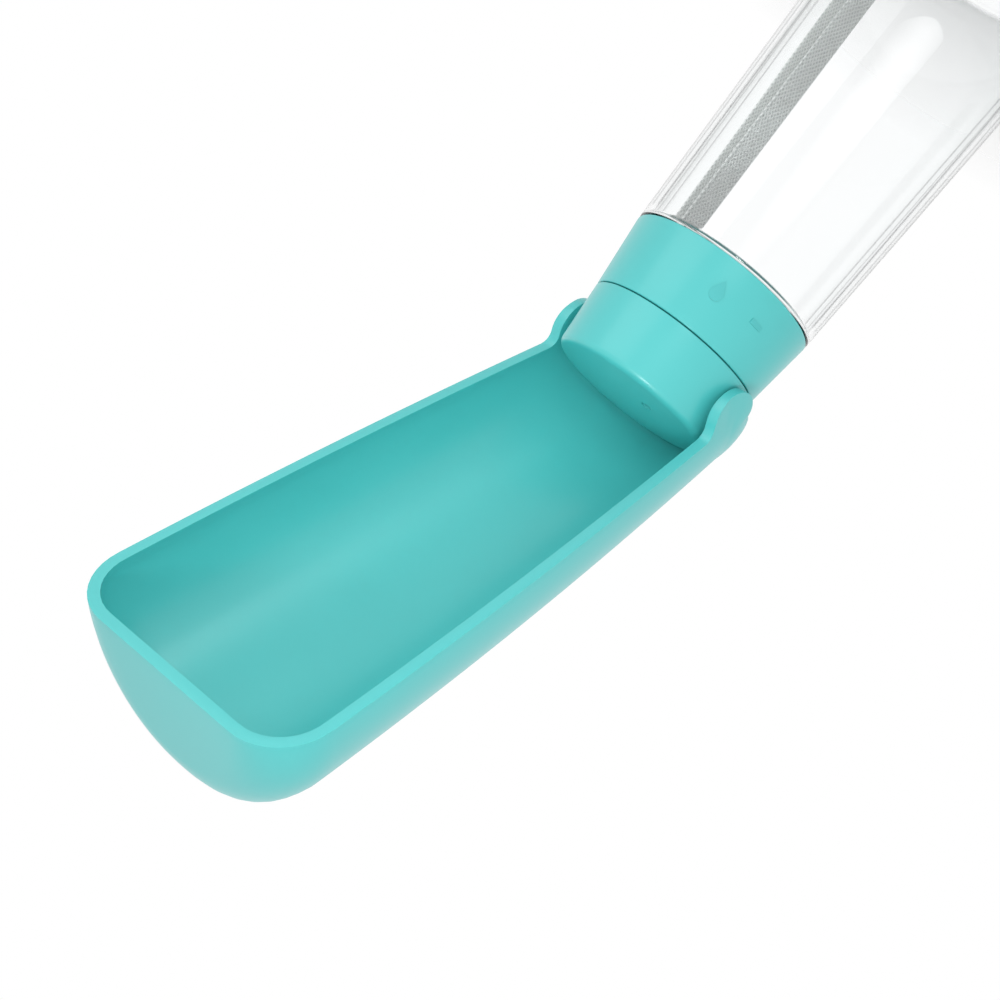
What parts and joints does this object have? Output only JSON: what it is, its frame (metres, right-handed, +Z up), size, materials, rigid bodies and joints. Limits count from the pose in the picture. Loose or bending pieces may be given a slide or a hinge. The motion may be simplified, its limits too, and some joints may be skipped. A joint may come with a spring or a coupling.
{
  "type": "dog travel water bottle",
  "caption": "Clear flared travel bottle with a screw-on collar, a turning valve head and a long drinking trough that hinges on the head and folds over the bottle's front.",
  "frame": {"origin": "centre of the flat base the bottle stands on", "axes": "+Z up the bottle's axis from base to head, -Y towards the front where the trough swings out, +X along the hinge axis towards the strap's side"},
  "size_m": [0.0997, 0.1374, 0.3648],
  "materials": {
    "clear_bottle": "clear, polished",
    "teal_shell": "satin moulded",
    "mark": "raised, moulded in colour",
    "silicone": "translucent silicone",
    "white_plastic": "smooth moulded",
    "steel": "turned stainless",
    "dark_rubber": "smooth rubber",
    "webbing": "woven flat webbing"
  },
  "bodies": {
    "bottle": {"bottle_body": "clear_bottle"},
    "gasket": {"neck_gasket": "silicone"},
    "collar": {"collar": "teal_shell", "open_mark": "mark", "shut_mark": "mark", "valve_seal": "silicone", "pivot_screw": "steel", "wrist_strap": "webbing"},
    "head": {"valve_head": "teal_shell", "valve_rotor": "white_plastic", "spring_washer": "steel", "head_o_ring": "silicone", "hinge_pin_left": "steel", "hinge_pin_right": "steel", "friction_washer_left": "dark_rubber", "friction_washer_right": "dark_rubber"},
    "trough": {"trough": "teal_shell"}
  },
  "joints": [
    {"name": "collar_lift", "type": "slide", "parent": "bottle", "child": "gasket", "axis": [0, 0, 1], "range_m": [0, 0.006]},
    {"name": "collar_turn", "type": "hinge", "parent": "gasket", "child": "collar", "pos_m": [0, 0, 0.1535], "axis": [0, 0, 1], "range_deg": [0, 540]},
    {"name": "head_twist", "type": "hinge", "parent": "collar", "child": "head", "pos_m": [0, 0, 0.1695], "axis": [0, 0, 1], "range_deg": [-30, 0]},
    {"name": "trough_fold", "type": "hinge", "parent": "head", "child": "trough", "pos_m": [0, 0, 0.1799], "axis": [1, 0, 0], "range_deg": [0, 149.4]}
  ],
  "couplings": [
    {"joint": "collar_lift", "follows": "collar_turn", "m_per_rad": 0.0006366}
  ]
}
